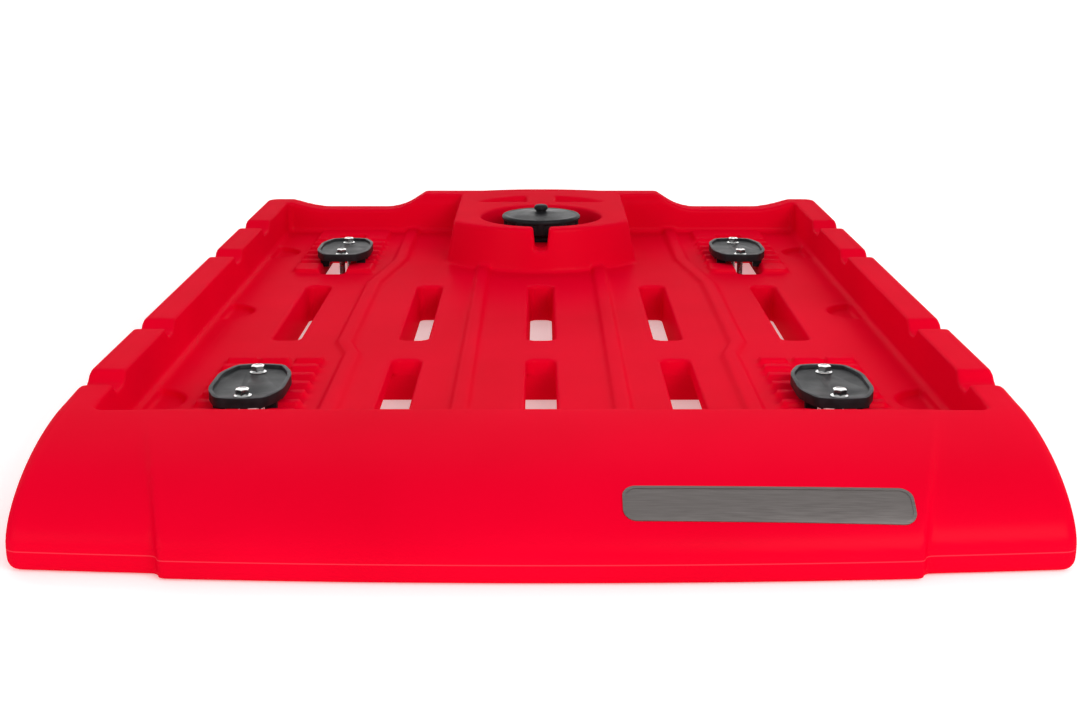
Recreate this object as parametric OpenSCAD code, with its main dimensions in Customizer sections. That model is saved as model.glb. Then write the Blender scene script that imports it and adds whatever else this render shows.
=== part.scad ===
// Roof-rack cargo tray that doubles as a flat water tank: one hollow moulded body, a screw-cap
// filler, and four bolted clamps that grip two crossbars.
// +X is to the right, -Y is the nose, +Z is up, and the origin is at the middle of the base.
// Places along the tray are distances behind the tip of the nose.

/* [Body] */
// Width over the side walls
width = 1050; // [1000:10:1100]
// Length from the nose to the back of the filler bulge
length = 1566; // [1540:2:1600]
// Height of the tray floor above the base
floor_z = 58; // [56:1:60]
// Height of the side walls above the base
wall_z = 115; // [112:1:118]
// Height of the filler boss above the base
boss_z = 131; // [129:1:133]
// Thickness of a side or rear wall, outside to tray
wall_t = 41; // [38:1:44]
// Thickness of the moulded skin
skin = 6; // [5:0.5:7]

/* [Nose] */
// Radius of the nose's bow, seen from above
bow_r = 6350; // [6000:50:7000]
// Half width of the middle panel that stands forward
panel_x = 385; // [370:5:400]
// How far the middle panel stands forward
panel_step = 12; // [10:1:14]
// Distance from the nose to the tray's front edge
tray_front = 217; // [214:1:220]

/* [Slots] */
// Length of a strap slot
strap_len = 340; // [320:5:345]
// Width of a strap slot
strap_w = 38; // [34:1:42]
// Spacing of the strap slots across the tray
strap_pitch = 178; // [174:1:182]
// Width of a bolt slot
bolt_slot_w = 43; // [40:1:44]
// Sideways place of the rear bolt slots
rear_slot_x = 348; // [346:1:350]

/* [Clamps] */
// Sideways place of the front clamps
front_x = 349; // [347:1:350]
// Sideways place of the rear clamps, at the inner side of their slots
rear_x = 338; // [336:1:342]
// Distance from the nose to the front clamps
front_d = 409; // [405:1:412]
// Distance between the two crossbars
bar_spacing = 822; // [820:1:824]
// Width of a clamp plate
plate_w = 90; // [88:1:92]
// Length of a clamp plate
plate_l = 150; // [148:1:152]
// Spacing of a clamp's two bolts
bolt_gap = 100; // [98:1:104]
// Pitch of the locating ladder
ladder_pitch = 38.5; // [38:0.5:39]
// Height of the roof of a crossbar bay
bay_z = 38; // [38:1:40]

/* [Filler] */
// Radius of the well around the cap
well_r = 104; // [100:1:108]
// Radius of the screw cap
cap_r = 68.5; // [66:0.5:70]
// Height of the floor of the well
well_z = 93; // [92:1:95]

/* [Hidden] */
$fn = 64;

half_w = width / 2;
inner_x = half_w - wall_t;
rear_d = length - 17;              // back face of the rear wall
tray_rear = rear_d - 43;           // rear wall's face towards the tray
nose_end = 300;                    // where the nose's curve runs out along the side walls
nose_top = wall_z - 4;             // height of the nose at the tray's front edge
rear_clamp_d = front_d + bar_spacing;
over = 1;                          // overrun of a cutting solid

// Nose profile: a lip, an upright band and one cubic curve up to the tray's edge
band_z = 24;
curve = [[0, band_z], [0, 55], [84, nose_top + 1], [tray_front, nose_top]];
curve_steps = 10;

// Strap slots: [row's rear end, columns]
strap_rows = [[1042, [-2, -1, 0, 1, 2]], [600, [-1, 0, 1]]];

// Crossbar bays and bolt slots: [front, rear] behind the nose
bays = [[252, 602], [1120, 1486]];
bolt_slots = [[262, 560], [1131, 1440]];

// Strap notches in the side walls: [front, rear] at the top of the wall
notches = [[297, 355], [544, 597], [997, 1060], [1241, 1316]];
notch_z = wall_z - 14;
notch_bevel = 13;

// Scooped rear wall: half widths of its centre, its scoops and its corner posts, in steps
centre_x = 220;
scoop_x = [267, 434];
post_x = 474;
scoop_z = wall_z - 14;

// Filler boss
boss_x = 155;
boss_front = 1143;
boss_shoulder = 1224;
well_d = 1277;
slit_w = 24;
bulge_r = 389;
crescent_d = 1353;
crescent_r = 133;
crescent_front = 1418;
crescent_web = 27;
crescent_deep = 8;

// Ribs, ladder and pockets of the floor
rib_w = 20;
rib_h = 7;
bar_h = 8;
bar_l = 18;
bar_w = 37;
bar_pitch = 44;
jog = [[243, tray_rear + over], [243, 1226], [270, 1046], [270, 673], [252, 611],
       [252, tray_front - over]];
pocket_ds = [[367, 468], [820, 921], [1260, 1362]];
pocket_x = 430;
pocket_deep = 9;

// Clamp heights
plate_z = [floor_z + 15, floor_z + 27];
plate_rim = 5;
plate_dish = 4;
bolt_r = 5;
bolt_hole_r = 5.5;
flange_r = 10.5;
head_af = 15;
head_h = 9;
seat_z = plate_z[1] - plate_dish;
jaw_w = 60;
jaw_z = [10, 16];
pad_h = 3;
nut_h = 8;
nut_af = 17;
thread_gap = 0.05;

// Filler heights
neck_r = [46, 55];
neck_z = [well_z, 127];
cap_z = [105, 138];
cap_wall = 4;
cap_lobes = 10;
lobe_r = 9;
lobe_h = 23;
gasket_h = 3;
knob_z = [139, 150];
knob_r = 12;
stem_r = 5;

// ---- shapes that several pieces share ----

// Puts its children at a distance behind the nose
module at(d) {
    translate([0, d - length / 2, 0]) children();
}

// A box from one side to the other, between two distances and two heights
module slab(x, d, z) {
    translate([x[0], d[0] - length / 2, z[0]])
        cube([x[1] - x[0], d[1] - d[0], z[1] - z[0]]);
}

// Its children on both sides of the middle
module both() {
    children();
    mirror([1, 0, 0]) children();
}

// A prism with round ends, long in Y
module round_slot(w, l, h) {
    translate([-w / 2, -l / 2 + w / 2, 0]) cube([w, l - w, h]);
    for (s = [-1, 1])
        translate([0, s * (l - w) / 2, 0]) cylinder(r = w / 2, h = h);
}

function bezier(p, t) =
    pow(1 - t, 3) * p[0] + 3 * t * pow(1 - t, 2) * p[1] + 3 * t * t * (1 - t) * p[2] + pow(t, 3) * p[3];
function slope(p, t) =
    3 * pow(1 - t, 2) * (p[1] - p[0]) + 6 * t * (1 - t) * (p[2] - p[1]) + 3 * t * t * (p[3] - p[2]);
// A point on the nose's curve, moved outwards by g
function nose_point(t, g) =
    let (v = slope(curve, t)) bezier(curve, t) + g * [-v[1], v[0]] / norm(v);

// ---- the moulded body ----

// Half section of the nose, w inside its skin, as [distance behind the tip, height]
module nose_section(w) {
    polygon(concat(
        [[7 + w, w], [1.5 + w, 8 + w / 2]],
        [for (i = [0 : curve_steps]) nose_point(i / curve_steps, -w)],
        [[nose_end, wall_z - w], [nose_end + w, wall_z - w], [nose_end + w, w]]
    ));
}

// The nose's section swept along its bow
module bowed(back) {
    turn = 12;
    translate([0, bow_r - length / 2, 0])
        rotate([0, 0, -90 - turn / 2])
            rotate_extrude(angle = turn, $fn = 256)
                translate([bow_r - back, 0]) mirror([1, 0, 0]) children();
}

module nose_form(w) {
    difference() {
        union() {
            intersection() {
                bowed(panel_step) nose_section(w);
                slab([w - half_w, half_w - w], [0, nose_end], [w, wall_z]);
            }
            intersection() {
                bowed(0) nose_section(w);
                slab([w - panel_x, panel_x - w], [0, tray_front - w], [w, wall_z]);
            }
        }
        slab([-inner_x - w, inner_x + w], [tray_front - w, nose_end + over], [floor_z - w, wall_z + over]);
    }
}

// Rear wall seen from behind: high centre, a scoop on each side and a post at each corner
module rear_outline(w) {
    ease = [for (i = [0 : 4]) [i / 4, (1 - cos(45 * i)) / 2]];
    half = concat(
        [for (e = ease) [centre_x + (scoop_x[0] - centre_x) * e[0] - w,
                         boss_z - (boss_z - scoop_z) * e[1] - w]],
        [for (e = ease) [scoop_x[1] + (post_x - scoop_x[1]) * e[0] + w,
                         scoop_z + (wall_z - scoop_z) * e[1] - w]],
        [[half_w - w, wall_z - w], [half_w - w, w]]
    );
    last = len(half) - 1;
    polygon(concat(half, [for (i = [last : -1 : 0]) [-half[i][0], half[i][1]]]));
}

module boss_form(w) {
    half_c = boss_x - w;
    rise = boss_shoulder - boss_front;
    arc_r = (boss_x * boss_x + rise * rise) / (2 * rise);
    intersection() {
        slab([-half_c, half_c], [boss_front, rear_d - w], [w, boss_z - w]);
        union() {
            at(boss_front + arc_r) translate([0, 0, w]) cylinder(r = arc_r - w, h = boss_z - 2 * w);
            slab([-half_c, half_c], [boss_shoulder + 60, rear_d], [w, boss_z - w]);
        }
    }
    // round bulge behind the filler
    intersection() {
        at(length - bulge_r) translate([0, 0, w]) cylinder(r = bulge_r - w, h = boss_z - 2 * w);
        slab([-half_c, half_c], [tray_rear + w, length], [w, boss_z - w]);
    }
}

// The whole body's outside, w inside its skin
module body_form(w) {
    nose_form(w);
    slab([w - half_w, half_w - w], [nose_end - 20, rear_d - w], [w, floor_z - w]);
    both() slab([inner_x + w, half_w - w], [nose_end - over, rear_d - w], [w, wall_z - w]);
    at(rear_d - w) rotate([90, 0, 0]) linear_extrude(rear_d - tray_rear - 2 * w) rear_outline(w);
    boss_form(w);
}

// Everything cut from that form, w larger all round
module body_cuts(w) {
    for (row = strap_rows, c = row[1])
        at(row[0] - strap_len / 2) translate([c * strap_pitch, 0, -over])
            round_slot(strap_w + 2 * w, strap_len + 2 * w, floor_z + 2 * over);
    for (b = bays)
        slab([-half_w - over, half_w + over], [b[0] - w, b[1] + w], [-over, bay_z + w]);
    both() {
        bolt_slot(front_x, bolt_slots[0], w);
        bolt_slot(rear_slot_x, bolt_slots[1], w);
        for (n = notches) at((n[0] + n[1]) / 2) notch(n[1] - n[0], w);
        for (p = pocket_ds) wall_pocket(p, w);
    }
    at(well_d) translate([0, 0, well_z - w]) cylinder(r = well_r + w, h = boss_z);
    slab([-slit_w / 2 - w, slit_w / 2 + w], [boss_front - over, well_d], [well_z - w, boss_z + over]);
    crescents(w);
}

module bolt_slot(x, d, w) {
    translate([x, 0, 0])
        slab([-bolt_slot_w / 2 - w, bolt_slot_w / 2 + w], [d[0] - w, d[1] + w], [-over, floor_z + bar_h + over]);
}

module notch(l, w) {
    translate([inner_x - 2 * over - w, 0, 0]) rotate([90, 0, 90]) linear_extrude(wall_t + 4 * over + 2 * w)
        polygon([[-l / 2 - w, wall_z + over], [-l / 2 + notch_bevel - w, notch_z - w],
                 [l / 2 - notch_bevel + w, notch_z - w], [l / 2 + w, wall_z + over]]);
}

module wall_pocket(p, w) {
    r = (p[1] - p[0]) / 2;
    intersection() {
        at((p[0] + p[1]) / 2) translate([pocket_x + r, 0, floor_z - pocket_deep - w])
            cylinder(r = r + w, h = pocket_deep + w + over);
        slab([pocket_x - w, inner_x + w], [p[0] - w, p[1] + w], [0, floor_z + over]);
    }
}

module crescents(w) {
    both() intersection() {
        at(crescent_d) translate([0, 0, boss_z - crescent_deep - w])
            cylinder(r = crescent_r + w, h = crescent_deep + w + over);
        slab([crescent_web - w, 120 + w], [crescent_front - w, crescent_d + crescent_r + w],
             [boss_z - 40, boss_z + over]);
    }
}

// Raised bars that the front clamps' feet drop between
module ladder() {
    for (row = [-5 : 4])
        for (c = [-1, 0, 1])
            if (row == 4 || c != 0)
                at(front_d + (row + 0.5) * ladder_pitch)
                    translate([front_x + c * bar_pitch - bar_w / 2, -bar_l / 2, floor_z - over])
                        cube([bar_w, bar_l, bar_h + over]);
}

// Raised pads beside the rear bolt slots, grooved for the rear clamps' feet
module rear_pad() {
    side = [rear_slot_x - 65, rear_slot_x + 65];
    difference() {
        slab(side, bolt_slots[1] + [0, 42], [floor_z - over, floor_z + bar_h]);
        for (row = [-1 : 4])
            at(rear_clamp_d + row * ladder_pitch)
                translate([rear_slot_x - 75, -(ladder_pitch - bar_l) / 2, floor_z])
                    cube([150, ladder_pitch - bar_l, bar_h + over]);
    }
}

module ribs() {
    both() {
        slab([97 - rib_w / 2, 97 + rib_w / 2], [tray_front - over, boss_front + 40],
             [floor_z - over, floor_z + rib_h]);
        translate([0, -length / 2, floor_z - over]) linear_extrude(rib_h + over)
            polygon(concat([for (p = jog) p - [rib_w / 2, 0]],
                           [for (i = [len(jog) - 1 : -1 : 0]) jog[i] + [rib_w / 2, 0]]));
    }
}

module tank_body() {
    color("#e00026") difference() {
        union() {
            body_form(0);
            both() {
                ladder();
                rear_pad();
            }
            ribs();
        }
        body_cuts(0);
        // the water space
        difference() {
            body_form(skin);
            body_cuts(skin);
        }
        at(well_d) translate([0, 0, well_z - skin - over]) cylinder(r = neck_r[0], h = skin + 2 * over);
    }
}

// ---- filler ----

module filler_neck() {
    color("#1a1a1c") at(well_d) translate([0, 0, neck_z[0]]) difference() {
        cylinder(r = neck_r[1], h = neck_z[1] - neck_z[0]);
        translate([0, 0, -over]) cylinder(r = neck_r[0], h = neck_z[1] - neck_z[0] + 2 * over);
    }
}

module cap_lid() {
    inside_r = neck_r[1] + 1;
    color("#1a1a1c") at(well_d) difference() {
        union() {
            translate([0, 0, cap_z[1] - 4]) cylinder(r1 = cap_r, r2 = cap_r - 4, h = 4);
            translate([0, 0, cap_z[1] - 12]) cylinder(r = cap_r, h = 8);
            translate([0, 0, cap_z[0]]) cylinder(r = cap_r - 3, h = 30);
            for (i = [1 : cap_lobes])
                rotate([0, 0, (i - 0.5) * 360 / cap_lobes])
                    translate([cap_r - lobe_r - 0.6, 0, cap_z[0] + over]) cylinder(r = lobe_r, h = lobe_h);
        }
        translate([0, 0, cap_z[0] - over])
            cylinder(r = inside_r, h = neck_z[1] + gasket_h - cap_z[0] + over);
        translate([0, 0, cap_z[1] - 20]) cylinder(r = stem_r + 0.4, h = 30);
    }
}

module cap_gasket() {
    color("#2b2b2b") at(well_d) translate([0, 0, neck_z[1]]) difference() {
        cylinder(r = neck_r[1], h = gasket_h);
        translate([0, 0, -over]) cylinder(r = neck_r[0], h = gasket_h + 2 * over);
    }
}

module vent_knob() {
    color("#222224") at(well_d) {
        translate([0, 0, knob_z[0]]) cylinder(r = knob_r - 3, h = 5);
        translate([0, 0, knob_z[0] + 3]) cylinder(r = knob_r, h = 5);
        translate([0, 0, knob_z[0] + 8]) cylinder(r1 = knob_r, r2 = knob_r - 3, h = knob_z[1] - knob_z[0] - 8);
        translate([0, 0, 125]) cylinder(r = stem_r, h = knob_z[0] - 124);
        // hooked foot that keeps the stem in the cap
        translate([0, 0, 123]) cylinder(r = stem_r + 3, h = 3);
    }
}

module vent_seal() {
    color("#2b2b2b") at(well_d) translate([0, 0, cap_z[1]]) difference() {
        cylinder(r = knob_r - 4, h = knob_z[0] - cap_z[1]);
        translate([0, 0, -over]) cylinder(r = stem_r + 0.4, h = 4);
    }
}

// Plain plate bonded to the nose's slope, curved with it
module nose_badge() {
    first = 3;
    last = 5;
    glue = 0.05;
    skin_t = 1.2;
    color("#78706e") intersection() {
        bowed(0) polygon(concat(
            [for (i = [first : last]) nose_point(i / curve_steps, glue)],
            [for (i = [last : -1 : first]) nose_point(i / curve_steps, skin_t)]
        ));
        slab([79, 363], [-10, tray_front], [0, wall_z]);
    }
}

// ---- clamps ----

// Straight sides, long slanted corners, bowed ends
module plate_outline(w, l) {
    end_r = l * 0.54;
    corner = [[w / 2, l * 0.23], [w * 0.31, l / 2]];
    intersection() {
        polygon([corner[0], corner[1],
                 [-corner[1][0], corner[1][1]], [-corner[0][0], corner[0][1]],
                 -corner[0], -corner[1],
                 [corner[1][0], -corner[1][1]], [corner[0][0], -corner[0][1]]]);
        translate([0, end_r - l / 2]) circle(r = end_r);
        translate([0, l / 2 - end_r]) circle(r = end_r);
    }
}

module clamp_plate(x, d) {
    feet_x = 30.5;
    color("#202024") at(d) translate([x, 0, 0]) difference() {
        union() {
            translate([0, 0, plate_z[0]]) linear_extrude(plate_z[1] - plate_z[0])
                plate_outline(plate_w, plate_l);
            for (row = [-1 : 1], s = [-1, 1])
                translate([s * feet_x - 8, row * ladder_pitch - 6, floor_z])
                    cube([16, 12, plate_z[0] - floor_z + over]);
        }
        translate([0, 0, seat_z]) linear_extrude(plate_dish + over)
            plate_outline(plate_w - 2 * plate_rim, plate_l - 2 * plate_rim);
        for (s = [-1, 1])
            translate([0, s * bolt_gap / 2, plate_z[0] - over]) cylinder(r = bolt_hole_r, h = 20);
    }
}

module bolt(x, d) {
    color("#c9cbcd") at(d) translate([x, 0, 0]) {
        translate([0, 0, seat_z]) cylinder(r1 = flange_r, r2 = flange_r - 1.5, h = 2);
        translate([0, 0, seat_z + 1.5]) cylinder(d = head_af / cos(30), h = head_h - 1.5, $fn = 6);
        translate([0, 0, jaw_z[0] - nut_h - over]) cylinder(r = bolt_r, h = seat_z - jaw_z[0] + nut_h + 2 * over);
    }
}

module jaw(x, d) {
    color("#1c1c1e") at(d) translate([x, 0, 0]) difference() {
        translate([0, 0, jaw_z[0]]) linear_extrude(jaw_z[1] - jaw_z[0]) plate_outline(jaw_w, plate_l);
        for (s = [-1, 1])
            translate([0, s * bolt_gap / 2, jaw_z[0] - over]) cylinder(r = bolt_hole_r, h = 20);
    }
}

module jaw_pad(x, d) {
    color("#2b2b2b") at(d) translate([x - jaw_w / 2, -bolt_gap / 2 + 12, jaw_z[1]])
        cube([jaw_w, bolt_gap - 24, pad_h]);
}

module jaw_nuts(x, d) {
    color("#b4b6b8") for (s = [-1, 1])
        at(d + s * bolt_gap / 2) translate([x, 0, jaw_z[0] - nut_h]) difference() {
            cylinder(d = nut_af / cos(30), h = nut_h, $fn = 6);
            translate([0, 0, -over]) cylinder(r = bolt_r + thread_gap, h = nut_h + 2 * over);
        }
}

module clamp_plate_fl() { clamp_plate(-front_x, front_d); }
module clamp_plate_fr() { clamp_plate(front_x, front_d); }
module clamp_plate_rl() { clamp_plate(-rear_x, rear_clamp_d); }
module clamp_plate_rr() { clamp_plate(rear_x, rear_clamp_d); }
module bolt_fl_a() { bolt(-front_x, front_d - bolt_gap / 2); }
module bolt_fl_b() { bolt(-front_x, front_d + bolt_gap / 2); }
module bolt_fr_a() { bolt(front_x, front_d - bolt_gap / 2); }
module bolt_fr_b() { bolt(front_x, front_d + bolt_gap / 2); }
module bolt_rl_a() { bolt(-rear_x, rear_clamp_d - bolt_gap / 2); }
module bolt_rl_b() { bolt(-rear_x, rear_clamp_d + bolt_gap / 2); }
module bolt_rr_a() { bolt(rear_x, rear_clamp_d - bolt_gap / 2); }
module bolt_rr_b() { bolt(rear_x, rear_clamp_d + bolt_gap / 2); }
module jaw_fl() { jaw(-front_x, front_d); }
module jaw_fr() { jaw(front_x, front_d); }
module jaw_rl() { jaw(-rear_x, rear_clamp_d); }
module jaw_rr() { jaw(rear_x, rear_clamp_d); }
module jaw_pad_fl() { jaw_pad(-front_x, front_d); }
module jaw_pad_fr() { jaw_pad(front_x, front_d); }
module jaw_pad_rl() { jaw_pad(-rear_x, rear_clamp_d); }
module jaw_pad_rr() { jaw_pad(rear_x, rear_clamp_d); }
module jaw_nuts_fl() { jaw_nuts(-front_x, front_d); }
module jaw_nuts_fr() { jaw_nuts(front_x, front_d); }
module jaw_nuts_rl() { jaw_nuts(-rear_x, rear_clamp_d); }
module jaw_nuts_rr() { jaw_nuts(rear_x, rear_clamp_d); }

tank_body();
filler_neck();
cap_lid();
cap_gasket();
vent_knob();
vent_seal();
nose_badge();
clamp_plate_fl();
clamp_plate_fr();
clamp_plate_rl();
clamp_plate_rr();
bolt_fl_a();
bolt_fl_b();
bolt_fr_a();
bolt_fr_b();
bolt_rl_a();
bolt_rl_b();
bolt_rr_a();
bolt_rr_b();
jaw_fl();
jaw_fr();
jaw_rl();
jaw_rr();
jaw_pad_fl();
jaw_pad_fr();
jaw_pad_rl();
jaw_pad_rr();
jaw_nuts_fl();
jaw_nuts_fr();
jaw_nuts_rl();
jaw_nuts_rr();
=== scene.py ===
"""Roof-rack tray tank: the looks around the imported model.

Everything is placed from the frame, in metres. Distances written d are millimetres behind the
tip of the nose, and x and z are millimetres from the middle and from the base.
"""

import math

import bmesh
import bpy
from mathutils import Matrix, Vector


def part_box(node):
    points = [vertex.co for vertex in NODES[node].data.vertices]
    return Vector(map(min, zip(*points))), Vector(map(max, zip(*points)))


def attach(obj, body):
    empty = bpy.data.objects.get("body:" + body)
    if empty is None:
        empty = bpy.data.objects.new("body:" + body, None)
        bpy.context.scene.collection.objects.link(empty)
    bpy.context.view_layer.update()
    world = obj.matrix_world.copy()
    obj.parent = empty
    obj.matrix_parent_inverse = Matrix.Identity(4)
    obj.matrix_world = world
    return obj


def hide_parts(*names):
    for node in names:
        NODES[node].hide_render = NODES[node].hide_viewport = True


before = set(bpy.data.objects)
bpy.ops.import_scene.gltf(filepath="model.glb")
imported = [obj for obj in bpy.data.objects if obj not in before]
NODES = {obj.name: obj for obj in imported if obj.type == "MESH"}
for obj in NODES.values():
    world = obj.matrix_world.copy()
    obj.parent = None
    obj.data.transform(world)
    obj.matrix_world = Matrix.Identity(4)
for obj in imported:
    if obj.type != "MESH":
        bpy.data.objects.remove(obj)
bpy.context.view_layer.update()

MM = 0.001
BODY_LO, BODY_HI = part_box("tank_body")
HALF_W = BODY_HI.x / MM
LENGTH = (BODY_HI.y - BODY_LO.y) / MM

# The moulding's main sizes
FLOOR_Z = 58
WALL_Z = 115
BOSS_Z = BODY_HI.z / MM
INNER_X = 484
TRAY_FRONT = 217
TRAY_REAR = LENGTH - 60
WALL_BACK = LENGTH - 17
SUNK_Z = 50
CLEAR_Z = 160
BOW_R = 6350
NOSE_TURN = math.radians(4.2)
BOSS_X = 155
WELL_D = 1277
WELL_Z = 93
BAY_TOP = 38

# The clamps: their places, the step of the ladder under them, and their bolts
CLAMPS = ("fl", "fr", "rl", "rr")
LADDER_X, LADDER_D = 349, 409
LADDER_PITCH = 38.5
BOLT_REACH = 50
BOLT_R = 5
BOLT_HOLE_R = 5.5


# ---- modelling helpers ----


def back(d):
    """The Y of a distance behind the tip of the nose."""
    return BODY_LO.y + d * MM


def place(x, d, z):
    return Vector((x * MM, back(d), z * MM))


def spot(co):
    """A point in metres as (x, distance behind the nose, z) in millimetres."""
    return co.x / MM, (co.y - BODY_LO.y) / MM, co.z / MM


def only(obj):
    bpy.ops.object.select_all(action="DESELECT")
    obj.select_set(True)
    bpy.context.view_layer.objects.active = obj


def settle(obj):
    """Puts the object at the origin, with its place in its mesh."""
    only(obj)
    bpy.ops.object.transform_apply(location=True, rotation=True, scale=True)
    return obj


def block(name, x, d, z):
    bpy.ops.object.select_all(action="DESELECT")
    low, high = place(x[0], d[0], z[0]), place(x[1], d[1], z[1])
    bpy.ops.mesh.primitive_cube_add(size=1, location=(low + high) / 2)
    obj = bpy.context.object
    obj.name = name
    obj.scale = high - low
    return settle(obj)


def drum(name, x, d, z, r, sides=64, top_r=None):
    """A cylinder, or a cone where top_r is given, standing at x and d between two heights."""
    bpy.ops.object.select_all(action="DESELECT")
    bpy.ops.mesh.primitive_cone_add(
        vertices=sides,
        radius1=r * MM,
        radius2=(r if top_r is None else top_r) * MM,
        depth=(z[1] - z[0]) * MM,
        location=place(x, d, (z[0] + z[1]) / 2),
    )
    obj = bpy.context.object
    obj.name = name
    return settle(obj)


def pick(obj, kind, test):
    """Opens the object in edit mode with the elements selected whose corners all pass the test."""
    only(obj)
    bpy.ops.object.mode_set(mode="EDIT")
    bpy.ops.mesh.select_mode(type=kind)
    bpy.ops.mesh.select_all(action="DESELECT")
    mesh = bmesh.from_edit_mesh(obj.data)
    items = {"VERT": mesh.verts, "EDGE": mesh.edges, "FACE": mesh.faces}[kind]
    for item in items:
        corners = [item] if kind == "VERT" else item.verts
        if all(test(*spot(v.co)) for v in corners):
            item.select_set(True)
    mesh.select_flush(True)
    bmesh.update_edit_mesh(obj.data)


def done():
    bpy.ops.object.mode_set(mode="OBJECT")


def anywhere(x, d, z):
    return True


def upright(obj, test=anywhere):
    """Opens the object in edit mode with its upright edges selected, where they pass the test."""
    pick(obj, "EDGE", lambda x, d, z: False)
    mesh = bmesh.from_edit_mesh(obj.data)
    for edge in mesh.edges:
        run = edge.verts[0].co - edge.verts[1].co
        ok = all(test(*spot(v.co)) for v in edge.verts)
        if ok and abs(run.z) > 10 * max(abs(run.x), abs(run.y)):
            edge.select_set(True)
    bmesh.update_edit_mesh(obj.data)


def bevel(radius, steps=4, affect="EDGES"):
    bpy.ops.mesh.bevel(offset=radius * MM, segments=steps, affect=affect)
    done()


def scale_at(obj, test, value, centre):
    """Scales the corners that pass the test about a centre, for draft and taper."""
    pick(obj, "VERT", test)
    bpy.ops.transform.resize(value=value, center_override=centre)
    done()


def shift(obj, test, x=0, d=0, z=0):
    pick(obj, "VERT", test)
    bpy.ops.transform.translate(value=(x * MM, d * MM, z * MM))
    done()


def trim(obj, point, normal):
    """Cuts off what lies beyond a plane and closes the cut."""
    pick(obj, "VERT", anywhere)
    bpy.ops.mesh.bisect(plane_co=point, plane_no=normal, use_fill=True, clear_outer=True)
    done()


def combine(obj, others, operation="UNION"):
    for other in others:
        only(obj)
        modifier = obj.modifiers.new("combine", "BOOLEAN")
        modifier.operation = operation
        modifier.solver = "MANIFOLD"
        modifier.object = other
        bpy.ops.object.modifier_apply(modifier=modifier.name)
        bpy.data.objects.remove(other)
    return obj


def cut(obj, others):
    return combine(obj, others, "DIFFERENCE")


def mirrored(make):
    """Makes a shape on the right and its mirror image on the left."""
    right = make()
    left = right.copy()
    left.data = right.data.copy()
    bpy.context.collection.objects.link(left)
    left.scale.x = -1
    settle(left)
    pick(left, "FACE", anywhere)
    bpy.ops.mesh.normals_make_consistent(inside=False)
    done()
    return [right, left]


def modify(obj, kind, **settings):
    only(obj)
    modifier = obj.modifiers.new(kind.lower(), kind)
    for key, value in settings.items():
        setattr(modifier, key, value)
    bpy.ops.object.modifier_apply(modifier=modifier.name)


def soften(obj, width, steps):
    """Breaks the sharp edges of a finished piece."""
    sharp = math.radians(50)
    modify(obj, "BEVEL", width=width * MM, segments=steps, limit_method="ANGLE", angle_limit=sharp)


def smooth(obj, degrees=35):
    only(obj)
    bpy.ops.object.shade_smooth_by_angle(angle=math.radians(degrees))


# ---- the moulded body ----


def nose_sweep(name, set_back, half_turn):
    """The nose's section, drawn as a plane with one bevelled corner, spun along the bow."""
    rise, band, run, wall_run = 87, 24, TRAY_FRONT, 83
    bpy.ops.object.select_all(action="DESELECT")
    bpy.ops.mesh.primitive_plane_add(size=1, rotation=(0, math.pi / 2, 0))
    obj = bpy.context.object
    obj.name = name
    # in units of the curve's own height and depth: one unit of curve, a band below, a run behind
    obj.scale = (1 + band / rise, 1 + wall_run / run, 1)
    obj.location = (0, (1 + wall_run / run) / 2, (1 - band / rise) / 2)
    settle(obj)
    only(obj)
    bpy.ops.object.mode_set(mode="EDIT")
    bpy.ops.mesh.select_mode(type="VERT")
    bpy.ops.mesh.select_all(action="DESELECT")
    mesh = bmesh.from_edit_mesh(obj.data)
    for v in mesh.verts:
        v.select_set(v.co.y < 0.1 and v.co.z > 0.5)
    bmesh.update_edit_mesh(obj.data)
    bpy.ops.mesh.bevel(offset=0.999, segments=28, profile=0.473, affect="VERTICES")
    bpy.ops.mesh.select_all(action="SELECT")
    bpy.ops.transform.resize(value=(1, run * MM, rise * MM), center_override=(0, 0, 0))
    bpy.ops.transform.translate(value=(0, back(set_back), band * MM))
    done()
    shift(obj, lambda x, d, z: d > 250 and z > 90, z=WALL_Z - rise - band)
    pick(obj, "VERT", lambda x, d, z: d < set_back + 1 and z < 1)
    bevel(9, steps=4, affect="VERTICES")
    centre = (0, back(BOW_R), 0)
    pick(obj, "VERT", anywhere)
    bpy.ops.transform.rotate(value=-half_turn, orient_axis="Z", center_override=centre)
    bpy.ops.mesh.spin(steps=28, angle=2 * half_turn, center=centre, axis=(0, 0, 1))
    bpy.ops.mesh.select_all(action="SELECT")
    bpy.ops.mesh.normals_make_consistent(inside=False)
    done()
    return obj


def nose():
    wings = nose_sweep("nose_wings", 12, math.radians(5.4))
    for side in (-1, 1):
        trim(wings, place(side * HALF_W, 0, 0), (side, 0, 0))
        pick(wings, "EDGE", lambda x, d, z: side * x > HALF_W - 0.1)
        bevel(14, steps=4)
    panel = nose_sweep("nose_panel", 0, NOSE_TURN)
    for side in (-1, 1):
        trim(panel, place(side * 365, 0, 0), Vector((side, -0.28, 0)).normalized())
    trim(panel, place(0, TRAY_FRONT + 4, 0), (0, 1, 0))
    return combine(wings, [panel])


def group(parts):
    """Joins shapes that don't touch each other, so that one boolean deals with all of them."""
    bpy.ops.object.select_all(action="DESELECT")
    for part in parts:
        part.select_set(True)
    bpy.context.view_layer.objects.active = parts[0]
    bpy.ops.object.join()
    return parts[0]


def main_block():
    main = block("main", (-HALF_W, HALF_W), (312, WALL_BACK), (0, WALL_Z))
    upright(main, lambda x, d, z: d > 1500)
    bevel(20, steps=5)
    pick(main, "EDGE", lambda x, d, z: z > WALL_Z - 0.1 and (abs(x) > HALF_W - 0.1 or d > 1520))
    bevel(6, steps=3)
    pick(main, "EDGE", lambda x, d, z: z < 0.1 and (abs(x) > HALF_W - 0.1 or d > 1520))
    bevel(12, steps=4)
    return main


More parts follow.
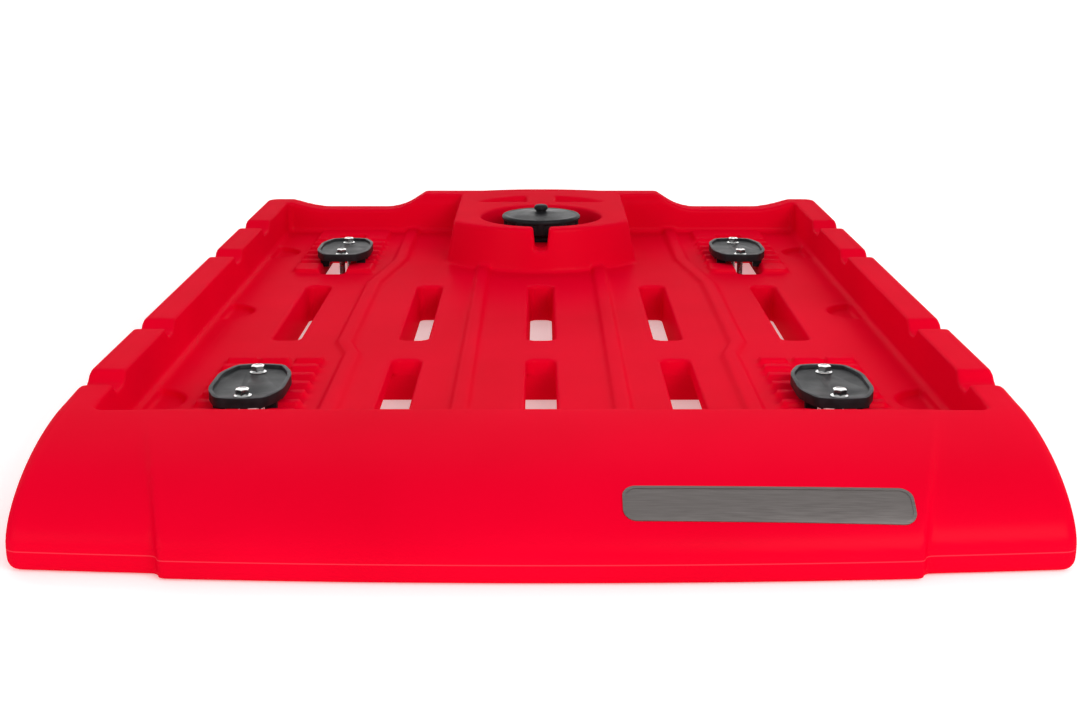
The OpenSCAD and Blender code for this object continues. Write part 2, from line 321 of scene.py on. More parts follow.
def tray_cutter():
    tray = block("tray", (-INNER_X, INNER_X), (TRAY_FRONT, TRAY_REAR), (FLOOR_Z, CLEAR_Z))
    scale_at(tray, lambda x, d, z: z < 60, (0.992, 0.995, 1), place(0, 860, FLOOR_Z))
    upright(tray)
    bevel(10, steps=4)
    pick(tray, "EDGE", lambda x, d, z: z < FLOOR_Z + 0.1)
    bevel(8, steps=4)
    return tray


def boss():
    """The filler boss: a bowed, drafted block with soft corners."""
    arc_r, shoulder = 189, 1224
    front = drum("boss", 0, 1143 + arc_r, (30, BOSS_Z), arc_r, sides=192)
    for side in (-1, 1):
        trim(front, place(side * BOSS_X, 0, 0), (side, 0, 0))
    trim(front, place(0, 1440, 0), (0, 1, 0))
    upright(front, lambda x, d, z: abs(x) > BOSS_X - 1 and d < shoulder + 30)
    bevel(10, steps=4)
    rear = block("boss_rear", (-BOSS_X, BOSS_X), (1400, 1540), (30, BOSS_Z))
    combine(front, [rear])
    # draft: the foot stands out, the top draws in
    scale_at(front, lambda x, d, z: z < 60, (1.08, 1.05, 1), place(0, 1380, FLOOR_Z))
    scale_at(front, lambda x, d, z: z > 100, (0.965, 0.985, 1), place(0, 1480, BOSS_Z))
    return front


def rear_centre():
    """The high middle of the rear wall with its sloping shoulders, and the bulge behind it."""
    middle = block("middle", (-220, 220), (TRAY_REAR, WALL_BACK), (60, BOSS_Z))
    scale_at(middle, lambda x, d, z: z < 80, (1.5, 1, 1), place(0, WALL_BACK, 0))
    bulge_r = 389
    bulge = drum("bulge", 0, LENGTH - bulge_r, (0, BOSS_Z), bulge_r, sides=256)
    for side in (-1, 1):
        trim(bulge, place(side * BOSS_X, 0, 0), (side, 0, 0))
    trim(bulge, place(0, 1510, 0), (0, -1, 0))
    return [middle, bulge]


def ribs():
    """Two straight ribs beside the middle and two that jog outwards and back."""
    height, half = (SUNK_Z, FLOOR_Z + 7.5), 10
    jog = ((243, 1226), (270, 1046), (270, 673), (252, 611), (252, TRAY_FRONT - 4))

    def outer():
        at_x, at_d = jog[0]
        rib = block("rib", (at_x - half, at_x + half), (at_d, TRAY_REAR + 6), height)
        for to_x, to_d in jog[1:]:
            pick(rib, "FACE", lambda x, d, z: d < at_d + 0.1)
            step = ((to_x - at_x) * MM, (to_d - at_d) * MM, 0)
            bpy.ops.mesh.extrude_region_move(TRANSFORM_OT_translate={"value": step})
            done()
            at_x, at_d = to_x, to_d
        return rib

    def inner():
        return block("rib", (97 - half, 97 + half), (TRAY_FRONT - 4, 1183), height)

    return group(mirrored(inner) + mirrored(outer))


def rounded_bar(name, x, d, z, corner):
    bar = block(name, x, d, z)
    upright(bar)
    bevel(corner, steps=3)
    return bar


def ladder():
    """Raised bars that the front clamps' feet drop between."""
    cells = [(row, col) for row in range(-5, 5) for col in (-1, 0, 1) if row == 4 or col]

    def bars():
        made = []
        for row, col in cells:
            x, d = LADDER_X + 44 * col, LADDER_D + (row + 0.5) * LADDER_PITCH
            bar = rounded_bar("bar", (x - 18.5, x + 18.5), (d - 9, d + 9), (SUNK_Z, 66.5), 4)
            made.append(bar)
        return group(made)

    return group(mirrored(bars))


def rear_pads():
    """Raised pads whose grooves take the feet of the rear clamps."""
    half = 10.2

    def pad():
        made = rounded_bar("pad", (283, 413), (1131, 1482), (SUNK_Z, 66), 8)
        slots = []
        for row in range(6):
            d = 1192.5 + row * LADDER_PITCH
            slots.append(block("groove", (260, 440), (d - half, d + half), (FLOOR_Z, 90)))
        return cut(made, [group(slots)])

    return group(mirrored(pad))


def strap_slots():
    """Long slots right through the floor, in two rows, each with its draft."""
    made = []
    for rear, columns in ((1042, (-2, -1, 0, 1, 2)), (600, (-1, 0, 1))):
        for column in columns:
            x, front = column * 178, rear - 340
            slot = block("strap_slot", (x - 19, x + 19), (front, rear), (-4, 70))
            middle = place(x, (front + rear) / 2, 0)
            scale_at(slot, lambda x, d, z: z > 60, (1.08, 1.008, 1), middle)
            scale_at(slot, lambda x, d, z: z < 0, (0.86, 0.99, 1), middle)
            upright(slot)
            bevel(12, steps=5)
            made.append(slot)
    return made


def bolt_slots():
    """The slots that the clamp bolts go down through. The rear ones stop at their pads."""

    def front():
        return rounded_bar("bolt_slot", (327.5, 370.5), (262, 560), (-4, 80), 6)

    def rear():
        return rounded_bar("bolt_slot", (326.5, 369.5), (1100, 1440), (-4, 80), 6)

    def rear_stop():
        return block("stop", (320, 376), (1090, 1131), (-6, FLOOR_Z))

    rears = mirrored(rear)
    for slot, stop in zip(rears, mirrored(rear_stop)):
        cut(slot, [stop])
    return mirrored(front) + rears


def bays():
    """The two channels under the tray for the crossbars."""
    made = []
    for front, rear in ((252, 602), (1120, 1486)):
        bay = block("bay", (-HALF_W - 10, HALF_W + 10), (front, rear), (-10, BAY_TOP))
        pick(bay, "EDGE", lambda x, d, z: z > BAY_TOP - 1)
        bevel(8, steps=3)
        made.append(bay)
    return made


def notches():
    """Strap notches in the tops of the side walls."""
    made = []
    for front, rear in ((297, 355), (544, 597), (997, 1060), (1241, 1316)):

        def notch():
            shape = block("notch", (472, 540), (front + 13, rear - 13), (101, 122))
            wide = (rear - front + 13) / (rear - front - 26)
            middle = place(500, (front + rear) / 2, 101)
            scale_at(shape, lambda x, d, z: z > 110, (1, wide, 1), middle)
            pick(shape, "EDGE", lambda x, d, z: z < 102)
            bevel(5, steps=3)
            return shape

        made += mirrored(notch)
    return made


def pockets():
    """Shallow D-shaped pockets in the floor against the side walls."""
    made = []
    for front, rear in ((367, 468), (820, 921), (1260, 1362)):

        def pocket():
            r, d = (rear - front) / 2, (front + rear) / 2
            shape = drum("pocket", 430 + r, d, (49, 70), r - 4, sides=72, top_r=r + 2)
            trim(shape, place(474, 0, 0), (1, 0, 0))
            return shape

        made += mirrored(pocket)
    return made


def scoops():
    """The two low stretches of the rear wall, soft at the bottom and at the ends."""

    def scoop():
        shape = block("scoop", (267, 434), (1470, 1590), (101, 135))
        shift(shape, lambda x, d, z: z > 120 and x < 300, x=-53)
        shift(shape, lambda x, d, z: z > 120 and x > 400, x=97)
        pick(shape, "EDGE", lambda x, d, z: z < 102)
        bevel(26, steps=6)
        return shape

    return mirrored(scoop)


def filler_cutters():
    """The round well for the cap, its front slit, the hole under the neck and two crescents."""
    well = drum("well", 0, WELL_D, (WELL_Z, CLEAR_Z), 102, sides=160, top_r=107)
    pick(well, "EDGE", lambda x, d, z: z < WELL_Z + 0.1)
    bevel(6, steps=4)
    slit = block("slit", (-10, 10), (1110, WELL_D), (WELL_Z + 0.5, CLEAR_Z))
    scale_at(slit, lambda x, d, z: z > 120, (1.62, 1, 1), place(0, WELL_D, 0))
    hole = drum("hole", 0, WELL_D, (12, 120), 46, sides=64)

    def crescent():
        shape = drum("crescent", 0, 1353, (BOSS_Z - 9, CLEAR_Z), 133, sides=160)
        trim(shape, place(27, 0, 0), (-1, 0, 0))
        trim(shape, place(118, 0, 0), (1, 0, 0))
        trim(shape, place(0, 1418, 0), (0, -1, 0))
        return shape

    return [well, slit, hole] + mirrored(crescent)


def moulding():
    """The moulded body: one closed form, softened all over the way a rotational mould leaves it."""
    body = combine(nose(), [main_block()])
    cut(body, [tray_cutter()])
    combine(body, [boss()] + rear_centre() + [ribs(), ladder(), rear_pads()])
    cut(body, [group(strap_slots() + bolt_slots())] + bays())
    cut(body, [group(notches() + pockets() + scoops())] + filler_cutters())
    body.name = "body"
    grid, passes = ((3, 7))
    most_triangles = 180000
    modify(body, "REMESH", mode="VOXEL", voxel_size=grid * MM, use_smooth_shade=True)
    modify(body, "SMOOTH", factor=0.5, iterations=passes)
    triangles = len(body.data.polygons) * 2
    modify(body, "DECIMATE", ratio=min(1, most_triangles / triangles))
    only(body)
    bpy.ops.object.shade_smooth()
    modify(body, "WEIGHTED_NORMAL", mode="FACE_AREA", weight=80)
    return body


# ---- smaller pieces ----


def lathe(name, x, d, profile, steps=96):
    """Spins a profile of (radius, z) points about an upright axis and welds it shut."""
    bpy.ops.object.select_all(action="DESELECT")
    bpy.ops.mesh.primitive_plane_add(size=0.01)
    obj = bpy.context.object
    obj.name = name
    bpy.ops.object.mode_set(mode="EDIT")
    bpy.ops.mesh.select_mode(type="VERT")
    bpy.ops.mesh.select_all(action="SELECT")
    bpy.ops.mesh.merge(type="CENTER")
    bpy.ops.transform.translate(value=place(x + profile[0][0], d, profile[0][1]))
    for a, b in zip(profile, profile[1:]):
        step = ((b[0] - a[0]) * MM, 0, (b[1] - a[1]) * MM)
        bpy.ops.mesh.extrude_region_move(TRANSFORM_OT_translate={"value": step})
    bpy.ops.mesh.select_all(action="SELECT")
    bpy.ops.mesh.spin(steps=steps, angle=2 * math.pi, center=place(x, d, 0), axis=(0, 0, 1))
    bpy.ops.mesh.select_all(action="SELECT")
    bpy.ops.mesh.remove_doubles(threshold=0.00001)
    bpy.ops.mesh.normals_make_consistent(inside=False)
    done()
    return obj


def filler_neck():
    """The threaded ring that stands in the well."""
    ridges = []
    for z in (109, 115, 121):
        ridges += [(54.4, z - 1.6), (55.6, z - 0.5), (55.6, z + 0.5), (54.4, z + 1.6)]
    outer = [(46, 93), (55, 93), (55, 98), (54.4, 99)] + ridges + [(54.4, 126), (53.6, 127)]
    neck = lathe("neck", 0, WELL_D, outer + [(46.8, 127), (46, 126.2), (46, 93)])
    smooth(neck)
    return neck


def screw_cap():
    """A low domed lid over a lobed skirt, hollow beneath, with a hole for the vent's stem."""
    dome = [(5.4, 138), (13, 138), (15, 137.8), (18, 136.9), (30, 136.1), (45, 134.6), (57, 132.8),
            (61, 132.6), (63.5, 133.2), (65.8, 132.6), (67.6, 131), (68.3, 128.8), (68.2, 126.6),
            (67, 125.2), (64.6, 124.4)]
    skirt = [(64.6, 107), (63.6, 105.4), (62.4, 105), (57.2, 105), (56, 106), (56, 130), (5.4, 130)]
    cap = lathe("cap", 0, WELL_D, dome + skirt + dome[:1], steps=120)
    lobes, lobe_count, lobe_r = [], 10, 58.4
    for i in range(lobe_count):
        turn = 2 * math.pi / lobe_count * (i + 0.5)
        x, d = lobe_r * math.cos(turn), WELL_D + lobe_r * math.sin(turn)
        lobe = drum("lobe", x, d, (105.6, 127.3), 8.6, sides=32, top_r=9.5)
        pick(lobe, "EDGE", lambda x, d, z: z < 105.7)
        bevel(2, steps=3)
        lobes.append(lobe)
    combine(cap, lobes)
    cut(cap, [drum("inside", 0, WELL_D, (100, 129.98), 56.04, sides=120)])
    smooth(cap)
    return cap


def cap_gasket():
    ring = [(46, 127.4), (46.4, 127), (54.6, 127), (55, 127.4), (55, 129.5), (54.6, 129.9)]
    gasket = lathe("gasket", 0, WELL_D, ring + [(46.4, 129.9), (46, 129.5), (46, 127.4)])
    smooth(gasket)
    return gasket


def vent_knob():
    """A small fluted knob on a stem that goes down through the cap."""
    profile = [(0, 150), (5.5, 149.9), (8.6, 149.2), (10.8, 147.7), (11.9, 145.6), (12, 143.2),
               (11.4, 141.4), (9.6, 140.3), (9, 139.8), (9, 139), (5, 139), (5, 126), (8, 126),
               (8, 123.6), (7.4, 123), (0, 123)]
    knob = lathe("vent", 0, WELL_D, profile, steps=72)
    flute_count, flute_r = 9, 13.1
    for i in range(flute_count):
        turn = 2 * math.pi / flute_count * i
        x, d = flute_r * math.cos(turn), WELL_D + flute_r * math.sin(turn)
        cut(knob, [drum("flute", x, d, (140.9, 152), 1.8, sides=20, top_r=2.6)])
    smooth(knob)
    return knob


def vent_seal():
    ring = [(5.5, 138), (8, 138), (8.2, 138.5), (8, 139), (5.5, 139), (5.5, 138)]
    seal = lathe("vent_ring", 0, WELL_D, ring, steps=64)
    smooth(seal)
    return seal


def badge():
    """A plain plate with round ends on the nose's slope, with a raised border."""
    centre = place(221, 40.5, 70)

    def raised(gap):
        shape = nose_sweep("badge", 0, NOSE_TURN)
        pick(shape, "VERT", anywhere)
        bpy.ops.transform.translate(value=(0, -0.53 * gap * MM, 0.85 * gap * MM))
        done()
        return shape

    def prism(inset):
        half = 21.5 - inset
        shape = block("outline", (79 + inset, 363 - inset), (40.5 - half, 40.5 + half), (40, 100))
        upright(shape)
        bevel(half * 0.62, steps=8)
        pick(shape, "VERT", anywhere)
        bpy.ops.transform.rotate(value=math.radians(-31), orient_axis="X", center_override=centre)
        done()
        return shape

    plate = combine(raised(1.1), [prism(0)], "INTERSECT")
    cut(plate, [raised(0)])
    cut(plate, [cut(prism(3), [raised(0.6)])])
    smooth(plate, 30)
    return plate


def plate_shape(name, x, d, z, wide, corner, long=150):
    """A plate with straight sides, long slanted corners and bowed ends, all rounded over."""
    end_r = long * 0.54
    plate = block(name, (x - wide / 2, x + wide / 2), (d - long / 2, d + long / 2), z)
    slant = Vector((long * 0.27, wide * 0.19)).normalized()
    for across in (-1, 1):
        for along in (-1, 1):
            edge = place(x + across * wide / 2, d + along * long * 0.23, 0)
            trim(plate, edge, (across * slant.x, along * slant.y, 0))
    upright(plate)
    bevel(corner, steps=7)
    for side in (-1, 1):
        middle = d + side * (long / 2 - end_r)
        bow = drum("bow", x, middle, (z[0] - 5, z[1] + 5), end_r, sides=144)
        combine(plate, [bow], "INTERSECT")
    return plate


def bolt_holes(x, d, z):
    return group([
        drum("hole", x, d + side * BOLT_REACH, z, BOLT_HOLE_R, sides=48) for side in (-1, 1)
    ])


def clamp_plate(x, d):
    """The plate under a pair of bolts: a rim round a shallow dish, six feet, two holes."""
    plate = plate_shape("plate", x, d, (73, 85), 90, 14)
    dish = plate_shape("dish", x, d, (81, 90), 82.5, 11, long=142.5)
    scale_at(dish, lambda px, pd, pz: pz < 82, (0.96, 0.975, 1), place(x, d, 81))
    cut(plate, [dish, bolt_holes(x, d, (60, 90))])
    feet = []
    for row in (-1, 0, 1):
        for side in (-1, 1):
            fx, fd = x + side * 30.5, d + row * LADDER_PITCH
            foot = rounded_bar("foot", (fx - 8, fx + 8), (fd - 6, fd + 6), (FLOOR_Z, 74), 2)
            scale_at(foot, lambda px, pd, pz: pz < 60, (0.85, 0.85, 1), place(fx, fd, FLOOR_Z))
            feet.append(foot)
    combine(plate, [group(feet)])
    soften(plate, 0.7, 2)
    smooth(plate)
    return plate


def hex_prism(name, x, d, z, across, turned):
    """A hexagon whose corners are turned down at its top, or at both ends, as on bolts and nuts."""
    corner = across / 2 / math.cos(math.pi / 6)
    shape = drum(name, x, d, z, corner, sides=6)
    face, rim = across / 2 - 0.35, corner + 0.3
    drop = (rim - face) * math.tan(math.radians(30))
    bottom, top = z[0] - 0.01, z[1] + 0.01
    foot = [(0, bottom - 1), (rim, bottom - 1)]
    if turned == "both":
        foot = [(0, bottom), (face, bottom), (rim, bottom + drop)]
    cone = lathe("turned", x, d, foot + [(rim, top - drop), (face, top), (0, top)], steps=90)
    return combine(shape, [cone], "INTERSECT")


def clamp_bolt(x, d):
    """A flanged hexagon head over a threaded shank."""
    flange = [(0, 84), (7.6, 84), (8.6, 83.1), (9.8, 82.5), (10.4, 82), (10.5, 81.5),
              (10.3, 81), (0, 81)]
    head = lathe("bolt", x, d, flange, steps=66)
    top = hex_prism("head", x, d, (82.6, 90), 15, "top")
    pick(top, "FACE", lambda px, pd, pz: pz > 89.9)
    bpy.ops.mesh.inset(thickness=1.8 * MM)
    bpy.ops.mesh.inset(thickness=0.5 * MM, depth=-0.5 * MM)
    done()
    combine(head, [top])
    # the thread as close rings: every second ring is drawn in
    foot, end, rings = 1, 82, 107
    shank = drum("shank", x, d, (foot, end), BOLT_R, sides=32)
    upright(shank)
    bpy.ops.mesh.subdivide(number_cuts=rings - 1)
    done()
    ring = (end - foot) / rings

    def root(px, pd, pz):
        return round((pz - foot) / ring) % 2 == 1 and foot + 0.2 < pz < end - 2

    scale_at(shank, root, (0.88, 0.88, 1), place(x, d, 40))
    combine(head, [shank])
    smooth(head)
    return head


def jaw(x, d):
    """The steel bar under a crossbar."""
    bar = plate_shape("jaw", x, d, (10, 16), 60, 6)
    cut(bar, [bolt_holes(x, d, (5, 20))])
    soften(bar, 0.8, 3)
    smooth(bar)
    return bar


def jaw_pad(x, d):
    """A rubber strip with cross ribs."""
    pad = rounded_bar("pad", (x - 30, x + 30), (d - 38, d + 38), (16, 19), 2)
    grooves = []
    for row in range(-6, 7):
        middle = d + 6 * row
        grooves.append(block("groove", (x - 40, x + 40), (middle - 1, middle + 1), (17.9, 25)))
    cut(pad, [group(grooves)])
    soften(pad, 0.35, 2)
    smooth(pad)
    return pad


def jaw_nuts(x, d):
    """The two nuts under a jaw."""
    nuts = []
    for side in (-1, 1):
        nut = hex_prism("nut", x, d + side * BOLT_REACH, (2, 10), 17, "both")
        bore = drum("bore", x, d + side * BOLT_REACH, (0, 12), BOLT_R + 0.05, sides=64)
        nuts.append(cut(nut, [bore]))
    nuts = group(nuts)
    smooth(nuts)
    return nuts


# ---- materials ----


def colour(code):
    """The linear value of an sRGB hex colour."""
    parts = [int(code[i : i + 2], 16) / 255 for i in (0, 2, 4)]
    return [c / 12.92 if c <= 0.04045 else ((c + 0.055) / 1.055) ** 2.4 for c in parts] + [1]


def wire(node, inputs):
    """Gives each named input of a node its constant or its link."""
    for key, value in inputs.items():
        if isinstance(value, bpy.types.NodeSocket):
            node.id_data.links.new(value, node.inputs[key])
        else:
            node.inputs[key].default_value = value


def add(tree, kind, inputs, out=0, stops=(), **settings):
    """Adds a node with its settings, ramp stops, constants and links, and gives its output.

    A stop is a place and a colour, or a place and a grey where the tone is a number.
    """
    node = tree.nodes.new("ShaderNode" + kind)
    for key, value in settings.items():
        setattr(node, key, value)
    for i, (at, tone) in enumerate(stops):
        slot = node.color_ramp.elements[i]
        slot.position = at
        slot.color = colour(tone) if isinstance(tone, str) else (tone, tone, tone, 1)
    wire(node, inputs)
    return node.outputs[out]


def blobs(size_mm):
    """The noise scale whose blobs are about this many millimetres across."""
    return 1 / (size_mm * MM)


def material(name, **constants):
    """A new material: its node tree, its shader, and the object's own coordinates."""
    made = bpy.data.materials.new(name)
    made.use_nodes = True
    tree = made.node_tree
    shader = tree.nodes["Principled BSDF"]
    wire(shader, {key.replace("_", " "): value for key, value in constants.items()})
    return made, tree, shader, add(tree, "TexCoord", {}, "Object")


def moulded_red():
    """Rotationally moulded polyethylene: deep red, finely pebbled, with a painted-highlight parting
    line.

    The pigment goes right through and the skin only has a faint shine, so the red stays full on
    every side: no reflection of its own, and a thin satin coat over it.
    """
    made, tree, shader, where = material(
        "rotomoulded red polyethylene", IOR=1.52, Specular_IOR_Level=0.0,
        Coat_Weight=0.04, Coat_Roughness=0.32, Coat_IOR=1.5)
    cloud = add(tree, "TexNoise", {"Vector": where, "Scale": blobs(240), "Detail": 2})
    grain = add(tree, "TexNoise", {"Vector": where, "Scale": blobs(1.6), "Detail": 4})
    swell = add(tree, "TexNoise", {"Vector": where, "Scale": blobs(60), "Detail": 1})
    skin = add(tree, "ValToRGB", {"Fac": cloud}, stops=((0.3, "DC0022"), (0.7, "E60027")))
    # the two mould halves' parting line, across nose and sides, painted as a pale highlight
    x, y, z = (add(tree, "SeparateXYZ", {"Vector": where}, axis) for axis in "XYZ")
    above = add(tree, "Math", {0: z, 1: 22 * MM}, operation="SUBTRACT")
    off_line = add(tree, "Math", {0: above}, operation="ABSOLUTE")
    line = add(tree, "Math", {0: off_line, 1: 0.55 * MM}, operation="LESS_THAN")
    nose_part = add(tree, "Math", {0: y, 1: back(150)}, operation="LESS_THAN")
    aside = add(tree, "Math", {0: x}, operation="ABSOLUTE")
    flank = add(tree, "Math", {0: aside, 1: (HALF_W - 3) * MM}, operation="GREATER_THAN")
    outside = add(tree, "Math", {0: nose_part, 1: flank}, operation="MAXIMUM")
    seam_highlight = add(tree, "Math", {0: line, 1: outside}, operation="MULTIPLY")
    faint = add(tree, "Math", {0: seam_highlight, 1: 0.2}, operation="MULTIPLY")
    # painted highlight: the pale pink stands in for light catching the parting line's bead
    skin = add(tree, "MixRGB", {"Fac": faint, "Color1": skin, "Color2": colour("FF6A78")})
    # satin: the shine wanders a little and sparkles finely over the pebbled skin
    slow = add(tree, "Math", {0: cloud, 1: 0.6}, operation="MULTIPLY")
    fine = add(tree, "Math", {0: grain, 1: 0.4}, operation="MULTIPLY")
    both = add(tree, "Math", {0: slow, 1: fine}, operation="ADD")
    shine = add(tree, "ValToRGB", {"Fac": both}, stops=((0.35, 0.36), (0.65, 0.5)))
    waves = add(tree, "Bump", {"Height": swell, "Distance": 0.5 * MM, "Strength": 0.35})
    pebbles = add(tree, "Bump", {"Height": grain, "Distance": 0.06 * MM, "Strength": 0.6,
                                 "Normal": waves})
    wire(shader, {"Base Color": skin, "Roughness": shine, "Normal": pebbles})
    return made


def moulded_black(name, low, high, grain_mm, rim_highlight_z=None):
    """A black moulded plastic: fine grain, uneven shine, and a rim top painted paler as a
    highlight.
    """
    made, tree, shader, where = material(name, IOR=1.5, Specular_IOR_Level=0.1)
    mottle = add(tree, "TexNoise", {"Vector": where, "Scale": blobs(12), "Detail": 5})
    skin = add(tree, "ValToRGB", {"Fac": mottle}, stops=((0.3, low), (0.7, high)))
    # painted highlight: the top of the rim is painted paler, in patches, where light catches its
    # edge
    if rim_highlight_z:
        z = add(tree, "SeparateXYZ", {"Vector": where}, "Z")
        rim = add(tree, "Math", {0: z, 1: rim_highlight_z * MM}, operation="GREATER_THAN")
        highlight_noise = add(tree, "TexNoise", {"Vector": where, "Scale": blobs(5), "Detail": 3})
        patchy_highlight = add(tree, "ValToRGB", {"Fac": highlight_noise}, stops=((0.3, 0.25), (0.65, 0.8)))
        rim_highlight = add(tree, "Math", {0: rim, 1: patchy_highlight}, operation="MULTIPLY")
        skin = add(tree, "MixRGB", {"Fac": rim_highlight, "Color1": skin, "Color2": colour("3C3D40")})
    streaks = add(tree, "TexNoise", {"Vector": where, "Scale": blobs(25), "Detail": 4})
    shine = add(tree, "ValToRGB", {"Fac": streaks}, stops=((0.3, 0.36), (0.7, 0.5)))
    grain = add(tree, "TexNoise", {"Vector": where, "Scale": blobs(grain_mm), "Detail": 2})
    texture = add(tree, "Bump", {"Height": grain, "Distance": 0.04 * MM, "Strength": 0.6})
    wire(shader, {"Base Color": skin, "Roughness": shine, "Normal": texture})
    return made


def metal(name, low, high, rough, grain_mm, stretch=None):
    """A bare or plated metal: the tone and the shine vary along the way it was worked."""
    made, tree, shader, where = material(name, Metallic=1.0)
    if stretch:
        where = add(tree, "Mapping", {"Vector": where, "Scale": stretch})
    worked = add(tree, "TexNoise", {"Vector": where, "Scale": blobs(grain_mm), "Detail": 4})
    tone = add(tree, "ValToRGB", {"Fac": worked}, stops=((0.3, low), (0.7, high)))
    shine = add(tree, "ValToRGB", {"Fac": worked}, stops=((0.3, rough), (0.7, rough + 0.1)))
    lines = add(tree, "Bump", {"Height": worked, "Distance": 0.01 * MM, "Strength": 0.5})
    wire(shader, {"Base Color": tone, "Roughness": shine, "Normal": lines})
    return made


def rubber(name, low, high):
    """Soft black rubber: nearly no shine, dusty in places."""
    made, tree, shader, where = material(name, IOR=1.52)
    dust = add(tree, "TexNoise", {"Vector": where, "Scale": blobs(9), "Detail": 5})
    grain = add(tree, "TexNoise", {"Vector": where, "Scale": blobs(0.8), "Detail": 2})
    skin = add(tree, "ValToRGB", {"Fac": dust}, stops=((0.35, low), (0.7, high)))
    shine = add(tree, "ValToRGB", {"Fac": dust}, stops=((0.3, 0.66), (0.7, 0.82)))
    texture = add(tree, "Bump", {"Height": grain, "Distance": 0.05 * MM, "Strength": 0.5})
    wire(shader, {"Base Color": skin, "Roughness": shine, "Normal": texture})
    return made


def powder_coat():
    """Black powder coat on steel: an orange-peel skin."""
    made, tree, shader, where = material("black powder coat", IOR=1.5)
    tint = add(tree, "TexNoise", {"Vector": where, "Scale": blobs(30), "Detail": 3})
    peel = add(tree, "TexNoise", {"Vector": where, "Scale": blobs(2.2), "Detail": 1})
    skin = add(tree, "ValToRGB", {"Fac": tint}, stops=((0.3, "17181A"), (0.7, "202124")))
    shine = add(tree, "ValToRGB", {"Fac": peel}, stops=((0.3, 0.42), (0.7, 0.55)))
    texture = add(tree, "Bump", {"Height": peel, "Distance": 0.08 * MM, "Strength": 0.7})
    wire(shader, {"Base Color": skin, "Roughness": shine, "Normal": texture})
    return made


MATERIALS = {
    "moulded_body": moulded_red(),
    "cap_plastic": moulded_black("black polypropylene", "19191B", "232326", 1.0),
    "seal_rubber": rubber("black nitrile rubber", "1B1B1C", "2A2A2B"),
    "badge_metal": metal("grey brushed aluminium", "7C7674", "8B8583", 0.42, 1.2, (0.04, 1, 1)),
    "clamp_nylon": moulded_black("glass-filled black nylon", "17181A", "222326", 0.7, rim_highlight_z=84.4),
    "bolt_steel": metal("stainless steel", "D2D3D3", "E0E0DE", 0.13, 3),
    "jaw_steel": powder_coat(),
    "pad_rubber": rubber("ribbed black rubber", "1C1D1D", "2B2C2C"),
    "nut_steel": metal("zinc-plated steel", "B4B8BC", "CDD0D2", 0.28, 2),
}


# ---- the pieces, each on its body ----


SLOTS = (
    ("tank_body", "moulded_body"), ("filler_neck", "cap_plastic"), ("cap_lid", "cap_plastic"),
    ("cap_gasket", "seal_rubber"), ("vent_knob", "cap_plastic"), ("vent_seal", "seal_rubber"),
    ("nose_badge", "badge_metal"), ("clamp_plate", "clamp_nylon"), ("bolt", "bolt_steel"),
    ("jaw_pad", "pad_rubber"), ("jaw_nuts", "nut_steel"), ("jaw", "jaw_steel"),
)


def slot_of(node):
    """The material slot of a CAD node, by how its name starts."""
    return next(name for start, name in SLOTS if node.startswith(start))


def finish(obj, node, body):
    """Gives a piece its material and the body it moves with, and hides the CAD node it stands for.
    """
    name = slot_of(node)
    obj.data.materials.clear()
    obj.data.materials.append(MATERIALS[name])
    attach(obj, body)
    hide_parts(node)


finish(moulding(), "tank_body", "tray")
finish(badge(), "nose_badge", "tray")
finish(filler_neck(), "filler_neck", "tray")
finish(cap_gasket(), "cap_gasket", "cap_ring")
finish(screw_cap(), "cap_lid", "cap")
finish(vent_seal(), "vent_seal", "cap")
finish(vent_knob(), "vent_knob", "vent")

# how the piece is made, how its name, its node's and its body's start, and where it repeats
BOLTS = [which + "_" + end for which in CLAMPS for end in "ab"]
HARDWARE = (
    (clamp_plate, "plate_", "clamp_plate_", "tray", CLAMPS),
    (clamp_bolt, "clamp_bolt_", "bolt_", "bolt_", BOLTS),
    (jaw, "clamp_jaw_", "jaw_", "jaw_", CLAMPS),
    (jaw_pad, "pad_", "jaw_pad_", "jaw_", CLAMPS),
    (jaw_nuts, "nuts_", "jaw_nuts_", "jaw_", CLAMPS),
)


def repeat(make, name, node, ends):
    """Models a piece at its first place and copies it to the rest, each copy with its own mesh."""
    made = []
    for end in ends:
        low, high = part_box(node + end)
        x, d, _ = spot((low + high) / 2)
        if not made:
            first_x, first_d = x, d
            made.append(make(x, d))
        else:
            copy = made[0].copy()
            copy.data = made[0].data.copy()
            bpy.context.collection.objects.link(copy)
            copy.location = ((x - first_x) * MM, (d - first_d) * MM, 0)
            made.append(settle(copy))
        made[-1].name = name + end
    return made


for make, name, node, body, ends in HARDWARE:
    for piece, end in zip(repeat(make, name, node, ends), ends):
        finish(piece, node + end, body if body == "tray" else body + end)


# ---- the CAD nodes' own slots, under the pieces ----

for node, obj in NODES.items():
    obj.data.materials.clear()
    obj.data.materials.append(MATERIALS[slot_of(node)])


# ---- studio ----


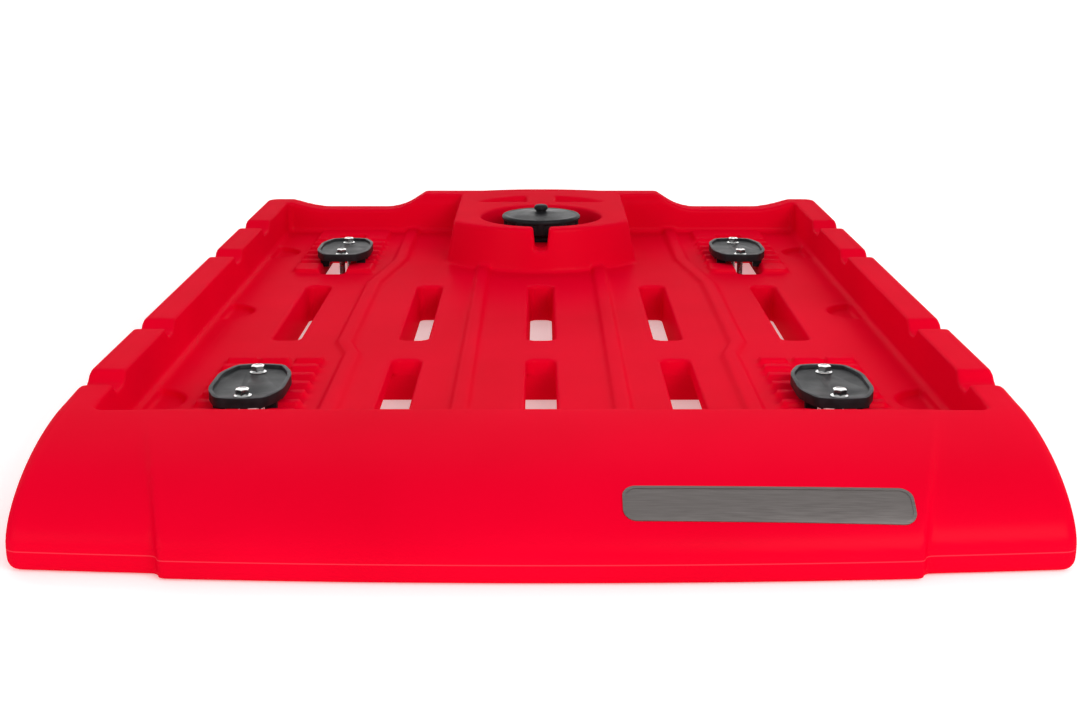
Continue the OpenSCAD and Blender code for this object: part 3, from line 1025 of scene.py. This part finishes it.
def area_light(name, where, size, power):
    """A white rectangular lamp turned to the middle of the tray."""
    data = bpy.data.lights.new(name, "AREA")
    data.shape = "RECTANGLE"
    data.size, data.size_y = size
    data.energy = power
    lamp = bpy.data.objects.new(name, data)
    bpy.context.collection.objects.link(lamp)
    lamp.location = where
    ray = Vector((0, 0, 0.05)) - lamp.location
    lamp.rotation_euler = ray.to_track_quat("-Z", "Y").to_euler()
    return lamp


def studio():
    """A pale floor, a white room, a large soft key at the front right and a weaker fill.

    The floor lies half a millimetre low, so that it doesn't run through the tray's base.
    """
    bpy.ops.object.select_all(action="DESELECT")
    bpy.ops.mesh.primitive_plane_add(size=60, location=(0, 0, -0.5 * MM))
    floor = bpy.context.object
    floor.name = "floor"
    bpy.ops.mesh.primitive_plane_add(size=30, location=(0, 9, 0), rotation=(math.pi / 2, 0, 0))
    backdrop = bpy.context.object
    backdrop.name = "backdrop"
    for sheet, glow in ((floor, 0.3), (backdrop, 0.9)):
        paint = bpy.data.materials.new("matt white paper")
        paint.use_nodes = True
        shader = paint.node_tree.nodes["Principled BSDF"]
        shader.inputs["Base Color"].default_value = colour("F4F4F4")
        shader.inputs["Roughness"].default_value = 0.9
        shader.inputs["Specular IOR Level"].default_value = 0.1
        shader.inputs["Emission Color"].default_value = (1, 1, 1, 1)
        shader.inputs["Emission Strength"].default_value = glow
        sheet.data.materials.append(paint)
    lights = [
        area_light("key", (1.6, -2.8, 1.8), (2.0, 1.4), 60),
        area_light("fill", (-2.2, -2.6, 1.2), (2.0, 1.4), 18),
    ]
    world = bpy.data.worlds.new("white room")
    world.use_nodes = True
    sky = world.node_tree.nodes["Background"]
    sky.inputs["Color"].default_value = (1, 1, 1, 1)
    sky.inputs["Strength"].default_value = 0.5
    bpy.context.scene.world = world


def camera():
    """Low in front of the nose, looking slightly down along the tray."""
    data = bpy.data.cameras.new("camera")
    data.lens = 50
    data.sensor_width = 36
    data.clip_end = 100
    eye = bpy.data.objects.new("camera", data)
    bpy.context.collection.objects.link(eye)
    eye.location = (0, BODY_LO.y - 1.3199, 0.5946)
    eye.rotation_euler = (math.radians(74.358), 0, math.radians(0.04))
    bpy.context.scene.camera = eye


studio()
camera()
bpy.context.scene.view_settings.view_transform = "Standard"
